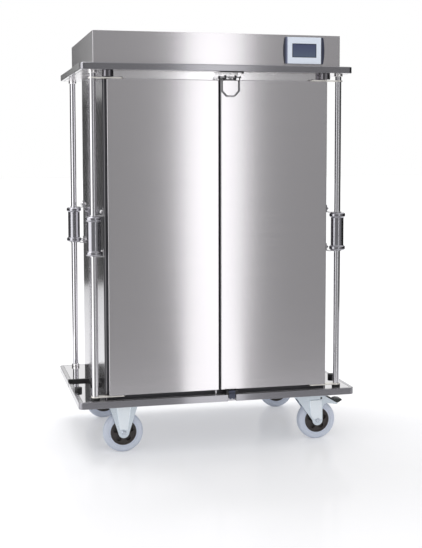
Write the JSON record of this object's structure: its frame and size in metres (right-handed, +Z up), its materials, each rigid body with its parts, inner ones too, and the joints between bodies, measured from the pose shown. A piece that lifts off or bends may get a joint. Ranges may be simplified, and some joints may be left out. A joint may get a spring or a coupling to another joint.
{
  "type": "enclosed meal tray cart",
  "caption": "Insulated stainless steel tray cart with two hinged doors, corner tubes with bumper rollers, control hood and fixed and swivel casters.",
  "frame": {"origin": "middle of the cart's outline on the floor, below the wheels", "axes": "+Z up; +X to the right along the front, seen from the doors; +Y from the doors to the back"},
  "size_m": [1.128, 0.75, 1.65],
  "materials": {
    "brushed_steel": "fine vertical brushed grain, stainless steel",
    "mirror_steel": "polished stainless steel",
    "bumper": "dark grey satin edging, extruded",
    "frame_zinc": "bright zinc plate on pressed steel",
    "insulation": "rigid foam board, matt",
    "black_frame": "black powder coat",
    "bright_zinc": "bright zinc plate",
    "rubber": "black moulded rubber",
    "door_core": "satin stainless inner sheet over foam",
    "roller": "dark grey moulded plastic, glossy",
    "tyre": "light blue-grey non-marking rubber",
    "hub": "dark moulded plastic",
    "display_frame": "pale satin front plate",
    "display_trim": "dark blue moulded plastic",
    "screen": "dark blue glass over a display, off",
    "control_unit": "grey moulded housing",
    "dark_blue_paint": "dark blue-grey enamel",
    "fan": "black moulded plastic"
  },
  "bodies": {
    "cabinet": {"base_platform": "mirror_steel", "base_bumper": "bumper", "under_frame": "frame_zinc", "top_platform": "mirror_steel", "top_bumper": "bumper", "side_panels": "brushed_steel", "back_panel": "brushed_steel", "floor_panel": "brushed_steel", "roof_panel": "brushed_steel", "insulation": "insulation", "compartment_liners": "brushed_steel", "front_frame": "black_frame", "rail_posts": "mirror_steel", "tray_ledges": "mirror_steel", "corner_tubes": "mirror_steel", "tube_collars": "rubber", "roller_brackets": "bright_zinc", "dome_nuts": "mirror_steel", "lift_stops": "mirror_steel", "strike_plate": "black_frame", "base_fittings": "rubber", "hood_housing": "brushed_steel", "control_unit": "control_unit", "fan_frame": "fan", "mains_inlet": "fan", "display_trims": "display_trim", "display_frame": "display_frame", "display_screen": "screen", "fixed_forks": "bright_zinc", "swivel_plates": "bright_zinc", "caster_bolts": "bright_zinc"},
    "door_left": {"door_left_shell": "brushed_steel", "door_left_core": "door_core", "door_left_gasket": "rubber", "door_left_arms": "bright_zinc", "door_left_pin": "mirror_steel"},
    "door_right": {"door_right_shell": "brushed_steel", "door_right_core": "door_core", "door_right_gasket": "rubber", "door_right_arms": "bright_zinc", "latch_eyes": "bright_zinc"},
    "latch_bail": {"latch_bail": "bright_zinc"},
    "foot_pedal": {"foot_pedal": "dark_blue_paint"},
    "fan_impeller": {"fan_impeller": "fan"},
    "roller_front_left": {"roller_front_left": "roller"},
    "roller_front_right": {"roller_front_right": "roller"},
    "roller_rear_left": {"roller_rear_left": "roller"},
    "roller_rear_right": {"roller_rear_right": "roller"},
    "swivel_front": {"swivel_fork_front": "bright_zinc"},
    "swivel_rear": {"swivel_fork_rear": "bright_zinc"},
    "brake_front": {"brake_pedal_front": "dark_blue_paint"},
    "brake_rear": {"brake_pedal_rear": "dark_blue_paint"},
    "wheel_front_left": {"tyre_front_left": "tyre", "hub_front_left": "hub"},
    "wheel_rear_left": {"tyre_rear_left": "tyre", "hub_rear_left": "hub"},
    "wheel_front_right": {"tyre_front_right": "tyre", "hub_front_right": "hub"},
    "wheel_rear_right": {"tyre_rear_right": "tyre", "hub_rear_right": "hub"}
  },
  "joints": [
    {"name": "door_left_hinge", "type": "hinge", "parent": "cabinet", "child": "door_left", "pos_m": [-0.496, -0.3415, 0.85], "axis": [0, 0, -1], "range_deg": [0, 270]},
    {"name": "door_right_hinge", "type": "hinge", "parent": "cabinet", "child": "door_right", "pos_m": [0.496, -0.3415, 0.85], "axis": [0, 0, 1], "range_deg": [0, 270]},
    {"name": "latch_bail_pivot", "type": "hinge", "parent": "door_right", "child": "latch_bail", "pos_m": [0.043, -0.366, 1.48], "axis": [1, 0, 0], "range_deg": [-75, 0]},
    {"name": "foot_pedal_pivot", "type": "hinge", "parent": "cabinet", "child": "foot_pedal", "pos_m": [0.046, -0.366, 0.233], "axis": [1, 0, 0], "range_deg": [0, 12], "stiffness_Nm_per_rad": 0.25},
    {"name": "fan_spin", "type": "hinge", "parent": "cabinet", "child": "fan_impeller", "pos_m": [-0.25, 0.344, 1.589], "axis": [0, 1, 0], "continuous": true},
    {"name": "roller_front_left_spin", "type": "hinge", "parent": "cabinet", "child": "roller_front_left", "pos_m": [-0.496, -0.3415, 0.867], "axis": [0, 0, 1], "continuous": true},
    {"name": "roller_front_right_spin", "type": "hinge", "parent": "cabinet", "child": "roller_front_right", "pos_m": [0.496, -0.3415, 0.867], "axis": [0, 0, 1], "continuous": true},
    {"name": "roller_rear_left_spin", "type": "hinge", "parent": "cabinet", "child": "roller_rear_left", "pos_m": [-0.496, 0.3415, 0.867], "axis": [0, 0, 1], "continuous": true},
    {"name": "roller_rear_right_spin", "type": "hinge", "parent": "cabinet", "child": "roller_rear_right", "pos_m": [0.496, 0.3415, 0.867], "axis": [0, 0, 1], "continuous": true},
    {"name": "swivel_front", "type": "hinge", "parent": "cabinet", "child": "swivel_front", "pos_m": [0.38, -0.28, 0.185], "axis": [0, 0, 1], "continuous": true},
    {"name": "brake_front_pivot", "type": "hinge", "parent": "swivel_front", "child": "brake_front", "pos_m": [0.446, -0.28, 0.172], "axis": [0, 1, 0], "range_deg": [0, 12]},
    {"name": "swivel_rear", "type": "hinge", "parent": "cabinet", "child": "swivel_rear", "pos_m": [0.38, 0.28, 0.185], "axis": [0, 0, 1], "continuous": true},
    {"name": "brake_rear_pivot", "type": "hinge", "parent": "swivel_rear", "child": "brake_rear", "pos_m": [0.446, 0.28, 0.172], "axis": [0, 1, 0], "range_deg": [0, 12]},
    {"name": "wheel_front_left_spin", "type": "hinge", "parent": "cabinet", "child": "wheel_front_left", "pos_m": [-0.38, -0.28, 0.08], "axis": [0, 1, 0], "continuous": true},
    {"name": "wheel_rear_left_spin", "type": "hinge", "parent": "cabinet", "child": "wheel_rear_left", "pos_m": [-0.38, 0.28, 0.08], "axis": [0, 1, 0], "continuous": true},
    {"name": "wheel_front_right_spin", "type": "hinge", "parent": "swivel_front", "child": "wheel_front_right", "pos_m": [0.43, -0.28, 0.08], "axis": [0, 1, 0], "continuous": true},
    {"name": "wheel_rear_right_spin", "type": "hinge", "parent": "swivel_rear", "child": "wheel_rear_right", "pos_m": [0.43, 0.28, 0.08], "axis": [0, 1, 0], "continuous": true}
  ]
}
